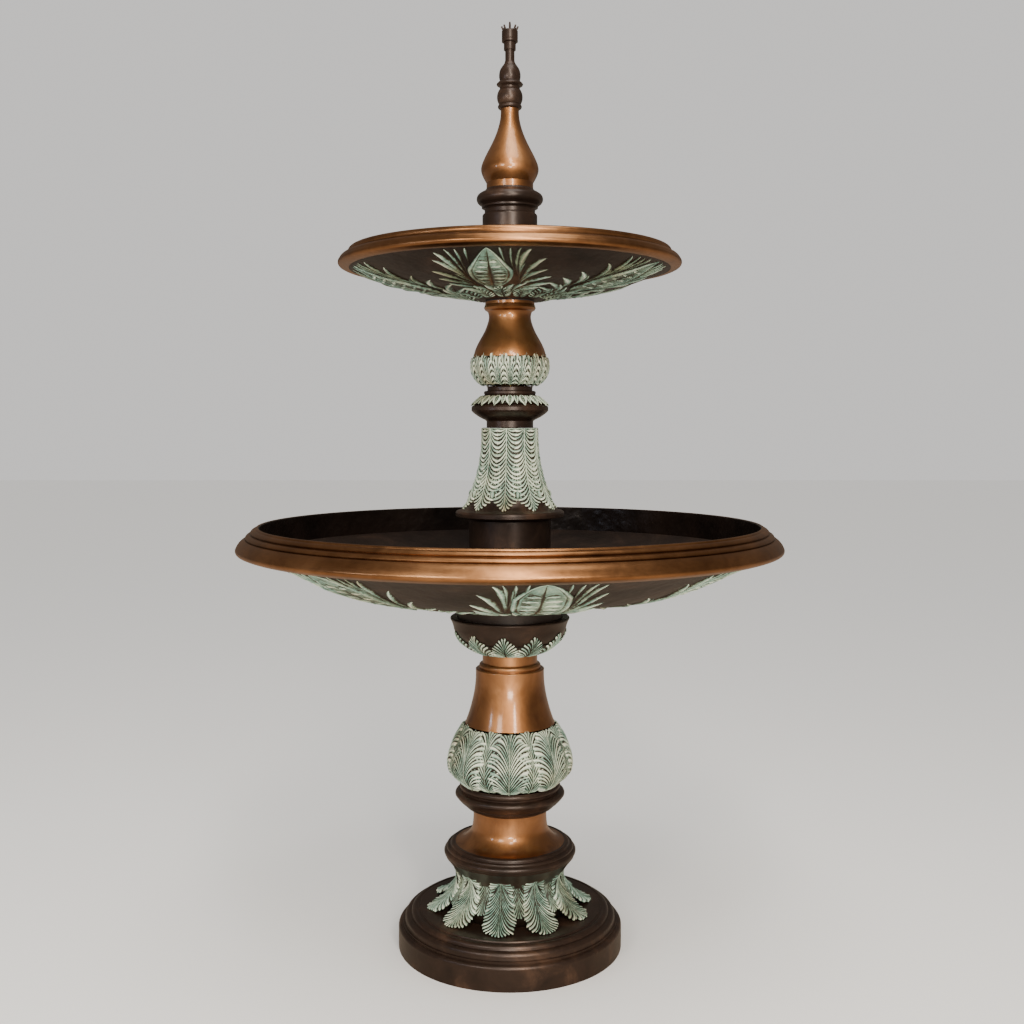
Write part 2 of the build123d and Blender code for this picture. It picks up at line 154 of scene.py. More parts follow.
def add_studio():
    warm = (1.0, 0.9, 0.78)
    middle = (0, 0, 1.3)
    add_light("key", (0.95, -3.9, 2.5), middle, (0.4, 1.9), 95, warm)
    add_light("fill", (-1.75, -3.3, 2.4), middle, (0.8, 1.1), 42, (1.0, 0.93, 0.84))
    add_light("low", (0.1, -3.9, 1.0), (0, 0, 0.9), (1.0, 0.45), 52, warm)
    add_light("high", (0.2, -2.9, 4.0), (0, 0, 1.7), (0.5, 2.4), 80, warm)
    add_light("window", (-3.3, -2.4, 2.0), middle, (0.35, 0.6), 12, (0.7, 0.8, 1.0))
    add_light("top", (0.3, -0.9, 5.0), middle, (2.0, 2.0), 55, (1.0, 0.97, 0.92))


add_camera()
add_floor()
add_world()
add_studio()


# Materials

class Paint:
    """Small helper that builds one material's node tree."""

    def __init__(self, name):
        self.material = bpy.data.materials.new(name)
        self.material.use_nodes = True
        self.tree = self.material.node_tree
        self.shader = self.tree.nodes["Principled BSDF"]
        self.where = self.tree.nodes.new("ShaderNodeTexCoord").outputs["Object"]

    def set(self, **values):
        for name, value in values.items():
            self.shader.inputs[name.replace("_", " ")].default_value = value

    def link(self, socket, name):
        self.tree.links.new(socket, self.shader.inputs[name])

    def noise(self, scale, detail=5, roughness=0.6, stretch=(1, 1, 1), distortion=0.0):
        mapping = self.tree.nodes.new("ShaderNodeMapping")
        mapping.inputs["Scale"].default_value = stretch
        self.tree.links.new(self.where, mapping.inputs["Vector"])
        node = self.tree.nodes.new("ShaderNodeTexNoise")
        node.inputs["Scale"].default_value = scale
        node.inputs["Detail"].default_value = detail
        node.inputs["Roughness"].default_value = roughness
        node.inputs["Distortion"].default_value = distortion
        self.tree.links.new(mapping.outputs[0], node.inputs["Vector"])
        return node.outputs["Fac"]

    def ramp(self, socket, *stops):
        node = self.tree.nodes.new("ShaderNodeValToRGB")
        elements = node.color_ramp.elements
        while len(elements) < len(stops):
            elements.new(0.5)
        for element, (position, colour) in zip(elements, stops):
            element.position = position
            element.color = (*colour, 1) if isinstance(colour, tuple) else (colour, colour, colour, 1)
        self.tree.links.new(socket, node.inputs["Fac"])
        return node.outputs["Color"]

    def math(self, operation, a, b):
        node = self.tree.nodes.new("ShaderNodeMath")
        node.operation = operation
        for i, value in enumerate((a, b)):
            if isinstance(value, (int, float)):
                node.inputs[i].default_value = value
            else:
                self.tree.links.new(value, node.inputs[i])
        return node.outputs[0]

    def mix(self, factor, a, b, blend="MIX"):
        node = self.tree.nodes.new("ShaderNodeMix")
        node.data_type = "RGBA"
        node.blend_type = blend
        for index, value in ((MIX_FACTOR, factor), (MIX_A, a), (MIX_B, b)):
            if isinstance(value, (int, float)):
                node.inputs[index].default_value = value
            elif isinstance(value, tuple):
                node.inputs[index].default_value = (*value, 1)
            else:
                self.tree.links.new(value, node.inputs[index])
        return node.outputs[MIX_RESULT]

    def roughen(self, least, *shares):
        """Roughness that adds a share of each (socket, share) pattern to a least value."""
        total = None
        for socket, share in shares:
            part = self.math("MULTIPLY", socket, share)
            total = part if total is None else self.math("ADD", total, part)
        self.link(self.math("ADD", total, least), "Roughness")

    def bump(self, *layers):
        """Each layer is (height socket, strength, distance)."""
        normal = None
        for socket, strength, distance in layers:
            node = self.tree.nodes.new("ShaderNodeBump")
            node.inputs["Strength"].default_value = strength
            node.inputs["Distance"].default_value = distance
            self.tree.links.new(socket, node.inputs["Height"])
            if normal:
                self.tree.links.new(normal, node.inputs["Normal"])
            normal = node.outputs[0]
        self.link(normal, "Normal")

    def facing_out(self):
        """From 0 where the surface faces the axis to 1 where it faces away from it."""
        place = self.tree.nodes.new("ShaderNodeNewGeometry")
        flat = self.vector("MULTIPLY", place.outputs["Position"], (1, 1, 0)).outputs["Vector"]
        radial = self.vector("NORMALIZE", flat).outputs["Vector"]
        dot = self.vector("DOT_PRODUCT", radial, place.outputs["Normal"]).outputs["Value"]
        return self.math("ADD", self.math("MULTIPLY", dot, 0.5), 0.5)

    def vector(self, operation, *values):
        node = self.tree.nodes.new("ShaderNodeVectorMath")
        node.operation = operation
        for port, value in zip(node.inputs, values):
            if isinstance(value, tuple):
                port.default_value = value
            else:
                self.tree.links.new(value, port)
        return node

    def attribute(self, name):
        node = self.tree.nodes.new("ShaderNodeAttribute")
        node.attribute_name = name
        return node.outputs["Fac"]


def polished_bronze():
    p = Paint("polished_bronze")
    clouds = p.noise(6, 4, 0.55, distortion=0.6)
    fine = p.noise(60, 6, 0.7)
    streaks = p.noise(14, 5, 0.6, stretch=(1, 1, 0.35))
    base = p.ramp(clouds, (0.3, (0.25, 0.105, 0.038)), (0.52, (0.41, 0.185, 0.070)),
                  (0.72, (0.57, 0.285, 0.125)))
    stain = p.ramp(streaks, (0.5, 0.0), (0.72, 0.7))
    p.link(p.mix(stain, base, (0.15, 0.062, 0.026)), "Base Color")
    p.set(Metallic=1.0, IOR=1.5, Coat_Weight=0.7, Coat_Roughness=0.12)
    p.roughen(0.3, (fine, 0.12), (clouds, 0.16))
    p.bump((clouds, 0.35, 0.006), (fine, 0.06, 0.002))
    return p.material


def copper_rim():
    """Copper-toned outside with painted shade darkening its grooves, and the bowl's near-black wall inside.
    """
    p = Paint("copper_rim")
    clouds = p.noise(5, 5, 0.6, distortion=0.4)
    fine = p.noise(70, 6, 0.7)
    brushed = p.noise(30, 4, 0.6, stretch=(1, 1, 6))
    base = p.ramp(clouds, (0.28, (0.18, 0.082, 0.034)), (0.5, (0.33, 0.158, 0.068)),
                  (0.74, (0.50, 0.255, 0.118)))
    copper = p.mix(p.ramp(brushed, (0.5, 0.0), (0.8, 0.4)), base, (0.16, 0.07, 0.03))
    # Painted shade: near-black in the grooves, from the rim's relief attribute
    copper = p.mix(p.attribute("relief"), copper, (0.028, 0.014, 0.008))
    inside = p.ramp(p.facing_out(), (0.25, 1.0), (0.42, 0.0))
    dark = p.ramp(clouds, (0.35, (0.007, 0.004, 0.003)), (0.7, (0.018, 0.010, 0.007)))
    p.link(p.mix(inside, copper, dark), "Base Color")
    p.link(p.math("SUBTRACT", 1.0, p.math("MULTIPLY", inside, 0.5)), "Metallic")
    hammered = p.math("MULTIPLY", p.noise(30, 2, 0.4), inside)
    p.roughen(0.17, (fine, 0.14), (clouds, 0.2))
    p.bump((clouds, 0.2, 0.006), (brushed, 0.08, 0.002), (fine, 0.05, 0.001), (hammered, 0.5, 0.008))
    return p.material


def dark_bronze():
    p = Paint("dark_bronze")
    clouds = p.noise(9, 6, 0.65, distortion=0.5)
    fine = p.noise(90, 6, 0.7)
    base = p.ramp(clouds, (0.3, (0.015, 0.0088, 0.0062)), (0.55, (0.034, 0.0185, 0.012)),
                  (0.8, (0.105, 0.055, 0.031)))
    p.link(base, "Base Color")
    p.set(Metallic=0.45, Coat_Weight=0.12, Coat_Roughness=0.3)
    p.roughen(0.18, (fine, 0.2), (clouds, 0.16))
    p.bump((clouds, 0.12, 0.003), (fine, 0.05, 0.0008))
    return p.material


def verdigris():
    """Dark brown in the hollows as painted shade, green verdigris over it, and light green on the crests of
    the relief as painted highlights.
    """
    p = Paint("verdigris")
    # The relief attribute is a painted light level: painted shade in hollows, painted highlights on crests;
    # noise patches vary it
    relief = p.attribute("relief")
    patches = p.noise(12, 6, 0.65, distortion=0.8)
    broad = p.noise(5, 3, 0.5)
    fine = p.noise(110, 6, 0.75)
    grain = p.noise(420, 3, 0.7)
    painted_light_and_patches = p.math("ADD", relief, p.math("MULTIPLY", p.math("SUBTRACT", fine, 0.5), 0.75))
    painted_light_and_patches = p.math("ADD", painted_light_and_patches, p.math("MULTIPLY", p.math("SUBTRACT", patches, 0.5), 0.8))
    green = p.ramp(patches, (0.3, (0.10, 0.24, 0.19)), (0.5, (0.20, 0.33, 0.25)), (0.72, (0.33, 0.41, 0.27)))
    # Painted highlight colour for the crests
    painted_light = p.ramp(grain, (0.3, (0.60, 0.68, 0.52)), (0.7, (0.92, 0.92, 0.74)))
    # Painted shade colour for the hollows
    low = p.ramp(painted_light_and_patches, (0.1, (0.016, 0.010, 0.006)), (0.34, (0.05, 0.04, 0.022)), (0.5, (0.10, 0.11, 0.07)))
    body = p.mix(p.ramp(painted_light_and_patches, (0.30, 0.0), (0.50, 1.0)), low, green)
    lit = p.mix(p.ramp(painted_light_and_patches, (0.55, 0.0), (0.95, 0.95)), body, painted_light)
    p.link(p.mix(p.ramp(broad, (0.48, 0.0), (0.66, 0.75)), lit, (0.46, 0.34, 0.22), "MULTIPLY"), "Base Color")
    p.link(p.ramp(painted_light_and_patches, (0.2, 0.42), (0.6, 0.6), (1.0, 0.46)), "Roughness")
    p.set(Metallic=0.1)
    p.bump((fine, 0.35, 0.002), (grain, 0.25, 0.0006))
    return p.material


def bowl_bronze():
    p = Paint("bowl_bronze")
    clouds = p.noise(7, 6, 0.65, distortion=0.5)
    fine = p.noise(80, 6, 0.7)
    dents = p.noise(26, 2, 0.4)
    base = p.ramp(clouds, (0.3, (0.010, 0.006, 0.0045)), (0.55, (0.022, 0.0125, 0.0085)),
                  (0.8, (0.055, 0.029, 0.017)))
    p.link(base, "Base Color")
    p.set(Metallic=0.1, Coat_Weight=0.08, Coat_Roughness=0.4)
    p.roughen(0.46, (fine, 0.2))
    p.bump((dents, 0.4, 0.008), (clouds, 0.2, 0.005), (fine, 0.12, 0.0015))
    return p.material


def pipe_brass():
    p = Paint("pipe_brass")
    dull = p.noise(30, 5, 0.6)
    p.link(p.ramp(dull, (0.35, (0.32, 0.21, 0.075)), (0.7, (0.56, 0.40, 0.17))), "Base Color")
    p.set(Metallic=1.0)
    p.roughen(0.2, (dull, 0.3))
    p.bump((dull, 0.1, 0.001))
    return p.material


def black_rubber():
    p = Paint("black_rubber")
    dust = p.noise(200, 4, 0.6)
    p.link(p.ramp(dust, (0.35, (0.012, 0.012, 0.012)), (0.75, (0.035, 0.034, 0.033))), "Base Color")
    p.roughen(0.6, (dust, 0.2))
    p.bump((dust, 0.2, 0.0004))
    return p.material


finish_of = {
    "dark_bronze": dark_bronze(),
    "polished_bronze": polished_bronze(),
    "copper_rim": copper_rim(),
    "verdigris_bronze": verdigris(),
    "bowl_bronze": bowl_bronze(),
    "pipe_brass": pipe_brass(),
    "rubber": black_rubber(),
}


def dress_cad_nodes():
    """Every carried-over CAD node gets the finish of its slot in the record."""
    for part in frame["record"]["subparts"]:
        node = nodes[part["node"]]
        for slot in node.material_slots:
            slot.material = finish_of[part["material_slot"]]
        if not node.material_slots:
            node.data.materials.append(finish_of[part["material_slot"]])


dress_cad_nodes()


# Cast relief: every leaf is built of closed ridges that stand on a turned surface. Millimetres.

OUTLINE_STEPS = 60


def span(node):
    """Heights of a CAD node's foot and head, to a micrometre."""
    low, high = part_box(node)
    return round(low[2] / MM, 3), round(high[2] / MM, 3)


def outer_radius(node):
    """Radius of a round CAD node, to a micrometre."""
    return round(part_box(node)[1][0] / MM, 3)


def tree_of(node):
    mesh = nodes[node].data
    return BVHTree.FromPolygons([v.co for v in mesh.vertices], [p.vertices for p in mesh.polygons])


def side_outline(node, turn, steps=OUTLINE_STEPS):
    """Outside of a turned CAD node as (radius, height), foot to head, at one angle from the front."""
    tree = tree_of(node)
    low, high = (corner[2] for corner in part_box(node))
    inset = 0.0003
    angle = FRONT + math.radians(turn)
    outwards = Vector((math.cos(angle), math.sin(angle), 0))
    outline = []
    for z in np.linspace(low + inset, high - inset, steps):
        spot = tree.ray_cast(outwards * 2 + Vector((0, 0, z)), -outwards)[0]
        outline.append((math.hypot(spot.x, spot.y) / MM, z / MM))
    return outline


def under_outline(node, inner, outer):
    """Underside of a turned CAD node as (radius, height), from an inner to an outer radius."""
    tree = tree_of(node)
    outline = []
    for r in np.linspace(inner, outer, OUTLINE_STEPS):
        spot = tree.ray_cast(Vector((r * MM, 0, 0)), Vector((0, 0, 1)))[0]
        outline.append((r, spot.z / MM))
    return outline


class Wall:
    """A turned surface: s runs along its outline, theta round the axis, and h stands off it.

    The outline goes straight on past both ends, and its outward direction is smoothed.
    """

    EXTEND = 30
    SAMPLES = 400
    SMOOTHING = 9

    def __init__(self, outline):
        points = np.array(outline, float)
        first, last = points[0] - points[1], points[-1] - points[-2]
        head = points[0] + first / np.hypot(*first) * self.EXTEND
        tail = points[-1] + last / np.hypot(*last) * self.EXTEND
        points = np.vstack([head, points, tail])
        along = np.concatenate([[0], np.cumsum(np.hypot(*np.diff(points, axis=0).T))]) - self.EXTEND
        self.s = np.linspace(along[0], along[-1], self.SAMPLES)
        self.r = np.interp(self.s, along, points[:, 0])
        self.z = np.interp(self.s, along, points[:, 1])
        slope_r, slope_z = self.slope(self.r), self.slope(self.z)
        size = np.hypot(slope_r, slope_z)
        self.out_r, self.out_z = slope_z / size, -slope_r / size

    def slope(self, values):
        """Smoothed slope of values along s."""
        blur = np.ones(self.SMOOTHING) / self.SMOOTHING
        return np.convolve(np.pad(np.gradient(values, self.s), self.SMOOTHING // 2, "edge"), blur, "valid")

    def at_height(self, z):
        """The s where an outline that only rises passes a height."""
        return float(np.interp(z, self.z, self.s))

    def at_radius(self, r):
        """The s where an outline that only widens passes a radius."""
        return float(np.interp(r, self.r, self.s))

    def spots(self, s, theta, h):
        s, theta, h = np.broadcast_arrays(s, theta, h)
        r = np.interp(s, self.s, self.r) + h * np.interp(s, self.s, self.out_r)
        z = np.interp(s, self.s, self.z) + h * np.interp(s, self.s, self.out_z)
        return np.stack([r * np.cos(theta), r * np.sin(theta), z], axis=-1)

    def radius(self, s):
        return np.interp(s, self.s, self.r)


def mirrored(*half):
    """Cross-section of a ridge from its left half and its middle."""
    return [*half, *((-offset, height, tone) for offset, height, tone in half[-2::-1])]


# Cross-sections of a ridge: (offset in half widths, height in crests, painted light level) across its top:
# painted highlight on the crest, painted shade at its foot
ROUND = mirrored((-1, -0.6, 0.0), (-0.58, 0.42, 0.42), (0, 1, 1))
SHARP = mirrored((-1, -0.4, 0.05), (-0.45, 0.3, 0.4), (0, 1, 1))
VEINED = mirrored((-1, -0.5, 0.0), (-0.8, 0.75, 0.8), (-0.58, 1, 1), (-0.24, 0.5, 0.35), (0, 0.2, 0.08))
HEART = mirrored((-1, -0.2, 0.1), (-0.96, 0.6, 0.6), (-0.89, 1, 0.85), (-0.82, 0.7, 0.5), (-0.77, 0.5, 0.3),
                 (-0.72, 0.75, 0.65), (-0.66, 0.6, 0.5), (-0.35, 0.66, 0.52), (-0.07, 0.6, 0.45),
                 (0, 0.2, 0.15))


class Relief:
    """Collects closed ridges on one wall and makes a single mesh of them. Their roots all lie at one h."""

    ROOT_HALF = 0.92    # half width of a ridge's root, as a share of its own

    def __init__(self, wall=None, root=0.0, seed=0):
        self.wall = wall
        self.root = root
        self.chance = np.random.default_rng(seed)
        self.points, self.tones, self.faces = [], [], []
        self.total = 0

    def add(self, spots, tones, faces):
        self.points.append(spots.reshape(-1, 3))
        self.tones.append(tones.reshape(-1))
        self.faces += [[i + self.total for i in face] for face in faces]
        self.total += len(self.points[-1])

    def ridge(self, place, path, half, crest, lift, section=ROUND, tone=1.0):
        """One ridge along a path of (along, across) points in a leaf whose place is (s, way, theta)."""
        path = np.asarray(path, float)
        count = len(path)
        tangent = np.gradient(path, axis=0)
        tangent /= np.maximum(np.hypot(*tangent.T), 1e-6)[:, None]
        half, crest, lift, tone = (np.broadcast_to(v, count).astype(float) for v in (half, crest, lift, tone))
        offset, height, shade = np.array(section).T
        offset = np.concatenate([offset, [self.ROOT_HALF, -self.ROOT_HALF]])
        lie = half[:, None] * offset
        along = path[:, :1] - tangent[:, 1:] * lie
        across = path[:, 1:] + tangent[:, :1] * lie
        tall = np.empty_like(lie)
        tall[:, :-2] = lift[:, None] + crest[:, None] * height
        tall[:, -2:] = self.root
        # Painted light level of each point of the ridge: painted highlight on its crest, painted shade at its
        # foot
        tones = np.zeros_like(lie)
        tones[:, :-2] = tone[:, None] * shade
        self.loft(place, along, across, tall, tones)

    def loft(self, place, along, across, h, tones):
        """Closed body through rings of points, one ring in each row of the arrays."""
        start, way, theta = place
        s = start + way * along
        spots = self.wall.spots(s, theta + across / self.wall.radius(s), h)
        count, ring = along.shape
        faces = []
        for i in range(count - 1):
            for k in range(ring):
                a, b = i * ring + k, i * ring + (k + 1) % ring
                face = [a, b, b + ring, a + ring]
                faces.append(face if way < 0 else face[::-1])
        end = (count - 1) * ring
        caps = [list(range(ring))[::-1], list(range(end, end + ring))]
        faces += caps if way < 0 else [cap[::-1] for cap in caps]
        self.add(spots, tones, faces)

    def turned(self, profile, segments=180, tone=0.0):
        """Closed body of revolution from (radius, height) points that run round its section."""
        r, z = np.array(profile, float).T
        theta = np.linspace(0, 2 * math.pi, segments, endpoint=False)[:, None]
        spots = np.stack(np.broadcast_arrays(r * np.cos(theta), r * np.sin(theta), z), axis=-1)
        ring = len(r)
        faces = []
        for i in range(segments):
            for k in range(ring):
                a, b = i * ring + k, i * ring + (k + 1) % ring
                c, d = ((i + 1) % segments) * ring + (k + 1) % ring, ((i + 1) % segments) * ring + k
                faces.append([a, d, c, b])
        self.add(spots, np.broadcast_to(tone, spots.shape[:2]), faces)

    def sheet(self, foot, head, skin, back, foot_points=()):
        """Turned shell between two heights off the wall, which closes the gaps under the leaves. It keeps the
        lowest painted light level: painted shade under the leaves.
        """
        s = np.linspace(foot, head, 40)
        outside, inside = (self.wall.spots(s, 0.0, h)[:, [0, 2]].tolist() for h in (skin, back))
        self.turned(list(foot_points) + outside + inside[::-1])

    def band(self, s, half, crest, lift):
        """Plain raised ring round the wall."""
        steps = 120
        round_about = 2 * math.pi * float(self.wall.radius(s))
        path = np.stack([np.zeros(steps), np.linspace(0, round_about, steps)], axis=1)
        self.ridge((s, 1, 0.0), path, half, crest, lift, tone=0.8)

    def piece(self, name, node, slot):
        mesh = bpy.data.meshes.new(name)
        points = np.concatenate(self.points) * MM
        mesh.from_pydata(points.tolist(), [], self.faces)
        # The relief attribute holds each point's painted light level: painted highlights on crests, painted
        # shade in hollows and grooves
        mesh.attributes.new("relief", "FLOAT", "POINT").data.foreach_set("value", np.concatenate(self.tones))
        mesh.shade_smooth()
        mesh.materials.append(finish_of[slot])
        piece = bpy.data.objects.new(name, mesh)
        bpy.context.scene.collection.objects.link(piece)
        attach(piece, "fountain")
        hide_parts(node)
        return piece

    def vary(self, value, part):
        """A value, changed by up to a part of itself."""
        return value * (1 + part * (2 * self.chance.random() - 1))

    def shift(self, most):
        """A random amount between minus most and most."""
        return most * (2 * self.chance.random() - 1)


def swept(start, angle_from, angle_to, length, side, count):
    """Path from a start that turns steadily between two angles from the leaf's own direction."""
    t = np.linspace(0, 1, count)
    angle = np.radians(angle_from + (angle_to - angle_from) * t)
    step = length / (count - 1)
    along = start[0] + np.concatenate([[0], np.cumsum(np.cos(angle[:-1]) * step)])
    across = start[1] + side * np.concatenate([[0], np.cumsum(np.sin(angle[:-1]) * step)])
    return np.stack([along, across], axis=1)


def rib_width(count, width):
    """Half widths of a rib: narrow at the midrib, full beyond the middle, pointed at its end."""
    t = np.linspace(0, 1, count)
    swell = 0.3 + 0.7 * np.minimum(1, t / 0.6) ** 0.9
    point = np.clip((1 - t) / 0.36, 0, 1) ** 0.65
    return width / 2 * np.maximum(swell * point, 0.06)


def plume(count, start=0.3, full=0.6, end=0.4):
    """Share of a plume's full height along it: low at its start, nothing at its pointed tip."""
    t = np.linspace(0, 1, count)
    return (start + (1 - start) * np.minimum(1, t / full) ** 1.4) * np.clip((1 - t) / end, 0, 1) ** 0.6


# Height and painted light level across one flute of a leaf, from its groove over its crest: painted shade in
# the groove, painted highlight on the crest
FLUTE = (0.0, 0.45, 0.95, 1.0, 0.95, 0.45)
FLUTE_PAINTED_LIGHT = (0.0, 0.18, 0.85, 1.0, 0.85, 0.18)


# Shares by which chance changes a flute's length, crest and painted light level
WILD_LENGTH, WILD_CREST, WILD_TONE = 0.05, 0.2, 0.22
# Points along a flute, the depth of the valley between two lobes, and how far the leaf's edge drops
LINE_POINTS = 10
VALLEY = 2.2
EDGE_DROP = 1.2


def flute_lines(start, along, across, curl):
    """Curved lines from the midrib to the edge, one in each row: places along and across the leaf."""
    r = np.linspace(0, 1, LINE_POINTS)
    bend_along = start + 0.9 * (along - start) + curl * np.minimum(1, across / 20)
    bend_across = 0.42 * across
    a, b, c = (1 - r) ** 2, 2 * r * (1 - r), r ** 2
    x = np.outer(start, a) + np.outer(bend_along, b) + np.outer(along, c)
    y = np.outer(bend_across, b) + np.outer(across, c)
    return x, y


def leaf(relief, turn, foot, tip, outline, flutes, lag, curl, crest, lift, dome, lobe, notch=0.12,
         finger=0.08, tone=0.95, rib=None, lean=0.0):
    """An acanthus leaf: a plate fluted along lines that leave the midrib and curl to a fingered edge.

    outline lists the half outline from foot to tip, as (share of the length, half width). A flute
    leaves the midrib a lag behind the point of the edge it ends at, and swings a curl past that point.
    The edge has a notch after every lobe flutes, with a valley that runs in from it. A rib is the
    (width, height) of a ridge along the middle.
    """
    place = (foot, 1 if tip > foot else -1, FRONT + math.radians(turn))
    size = abs(tip - foot)
    share, width = np.array(outline, float).T
    walk = np.concatenate([[0], np.cumsum(np.hypot(np.diff(share) * size, np.diff(width)))])
    rows = len(FLUTE) * flutes + 1
    u = np.linspace(0, 1, rows)
    edge_along = np.interp(u, walk / walk[-1], share) * size
    edge_across = np.interp(u, walk / walk[-1], width)
    start = np.maximum(edge_along - lag, 0)
    profile = np.append(np.tile(FLUTE, flutes), FLUTE[0])
    shade = np.append(np.tile(FLUTE_PAINTED_LIGHT, flutes), FLUTE_PAINTED_LIGHT[0])
    bump = np.sin(math.pi * ((u * flutes / lobe) % 1)) ** 0.5
    r = np.linspace(0, 1, LINE_POINTS)
    hill = np.sin(math.pi * np.clip(r * 0.95 + 0.02, 0, 1))
    halves = []
    for side in (1, -1):
        wild = np.repeat(relief.chance.uniform(-1, 1, flutes), len(FLUTE))
        wild = np.append(wild, wild[-1])
        grow = (1 - finger + finger * profile) * (1 - notch * (1 - bump)) * (1 + WILD_LENGTH * wild)
        x, y = flute_lines(start, start + (edge_along - start) * grow, edge_across * grow, curl)
        flute = crest * (1 + WILD_CREST * wild[:, None]) * (profile[:, None] - 0.5) * (0.3 + 0.7 * hill)
        groove = VALLEY * (1 - bump[:, None]) * hill
        flat = 1 - u[:, None] ** 6
        h = lift + dome * np.sin(math.pi * (0.1 + 0.8 * r)) * flat + flute - groove
        h[:, -1] -= EDGE_DROP
        # Painted light level: painted highlight on the flute crests, painted shade in the grooves, near the
        # midrib and in the valleys between lobes; chance varies it
        painted_light = tone * (0.04 + 0.96 * shade[:, None]) * (1 + WILD_TONE * wild[:, None]) * (0.7 + 0.4 * r)
        painted_light = painted_light * np.minimum(1, 0.45 + 5 * r) * (1 - 0.8 * (1 - bump[:, None]) ** 2 * hill)
        y = side * y + lean * x / size
        x = np.hstack([x, x[:, -1:], x[:, :1]])
        y = np.hstack([y, y[:, -1:], y[:, :1]])
        h = np.hstack([h, np.full((rows, 2), relief.root)])
        painted_light = np.hstack([painted_light, np.zeros((rows, 2))])
        halves.append([v if side > 0 else v[::-1] for v in (x, y, h, painted_light)])
    relief.loft(place, *(np.vstack([one, other[1:]]) for one, other in zip(*halves)))
    if rib:
        t = np.linspace(0, 1, 30)
        line = np.stack([t * size * 0.97, lean * t * 0.97], axis=1)
        half, rise = rib[0] / 2 * (1 - 0.6 * t), rib[1] * (1 - 0.4 * t)
        relief.ridge(place, line, half, rise, lift + 0.7 * dome, SHARP, 1.1 * tone)


def lance(relief, turn, foot, tip, width, crest, base_lift, belly=0.45):
    """A narrow smooth leaf with a raised rim on each side and a rib down its middle."""
    place = (foot, 1 if tip > foot else -1, FRONT + math.radians(turn))
    t = np.linspace(0, 1, 14)
    outline = width / 2 * np.sin(math.pi * np.clip(t, 0.02, 0.985) ** belly) ** 0.75
    line = np.stack([t * abs(tip - foot), np.zeros_like(t)], axis=1)
    lift = base_lift + 1.2 * np.sin(math.pi * t) + 1.2 * t ** 2
    relief.ridge(place, line, outline, crest, lift, VEINED)
    relief.ridge(place, line[:-2], 0.12 * outline[:-2] + 0.4, crest * 0.75, lift[:-2], SHARP)


# The leaf castings

def leaf_bulb():
    """Large bulb of the pedestal: eight plumes over eight more, ragged tips against the bell."""
    low, high = span("pedestal_leaf_bulb")
    bell = [(r + 3.5, z) for r, z in side_outline("pedestal_bell", 0) if z < high + 23]
    wall = Wall(side_outline("pedestal_leaf_bulb", 0) + bell)
    relief = Relief(wall, root=-6.5, seed=11)
    foot, tip = wall.at_height(low + 2), wall.at_height(high + 10)
    relief.sheet(wall.at_height(low + 0.5), wall.at_height(high - 1), -4.5, -9)
    front = [(0, 24), (0.1, 44), (0.3, 60), (0.55, 64), (0.78, 56), (0.92, 36), (1, 0)]
    back = [(0, 20), (0.1, 38), (0.3, 50), (0.6, 54), (0.85, 44), (0.95, 28), (1, 0)]
    for i in range(8):
        leaf(relief, 21.5 + 45 * i, foot, tip + 2 + relief.shift(2), back, 17, 56, 8, crest=3.4, lift=-4,
             dome=2, lobe=4, notch=0.24, tone=0.85, finger=0.12, rib=(4, 1.2))
    for i in range(8):
        leaf(relief, -1 + 45 * i, foot, tip - 4 + relief.shift(2), front, 20, 66, 10, crest=4.2, lift=-2.2,
             dome=3, lobe=4, notch=0.28, finger=0.12, rib=(4.5, 1.6), lean=relief.shift(4))
    return relief.piece("leaf_bulb_casting", "pedestal_leaf_bulb", "verdigris_bronze")


def column_leaves():
    """Sleeve of ten hanging feathers with pointed ends and a bud in each valley."""
    low, high = span("column_leaf_shell")
    wall = Wall(side_outline("column_leaf_shell", COLUMN_TURN))
    relief = Relief(wall, root=-6, seed=12)
    head, middle, valley, tip = (wall.at_height(z) for z in (high - 2, high - 102, low + 29, low))
    relief.sheet(valley, wall.at_height(high - 0.5), -3.8, -8)
    relief.band(wall.at_height(high - 3.5), 2.6, 2.2, -1.5)
    front = [(0, 29), (0.3, 31), (0.6, 36), (0.8, 41), (0.87, 36), (1, 0)]
    back = [(0, 10), (0.5, 24), (0.85, 26), (1, 0)]
    bud_path = [(0, 0), (2, 0), (6, 0), (11, 0), (17, 0), (21, 0), (23, 0)]
    bud_half = (2, 6, 9.5, 11, 9.5, 6, 2)
    bud_crest = (0.5, 3.5, 6.5, 7.5, 6.5, 3.5, 0.5)
    turns = [COLUMN_TURN + 36 * i for i in range(10)]
    for turn in turns:
        leaf(relief, turn + 18, middle, valley - 2, back, 9, 22, 6, crest=3, lift=-3.6, dome=1.5, lobe=3,
             tone=0.8)
    for turn in turns:
        leaf(relief, turn + relief.shift(0.8), head, tip, front, 21, 30, 6, crest=4.2, lift=-2.6, dome=2.4,
             lobe=3, notch=0.16, finger=0.16, rib=(7, 3.2), lean=relief.shift(3))
        place = (wall.at_height(low + 56), -1, FRONT + math.radians(turn + 18))
        relief.ridge(place, bud_path, bud_half, bud_crest, -1, tone=0.8)
    return relief.piece("column_leaf_casting", "column_leaf_shell", "verdigris_bronze")


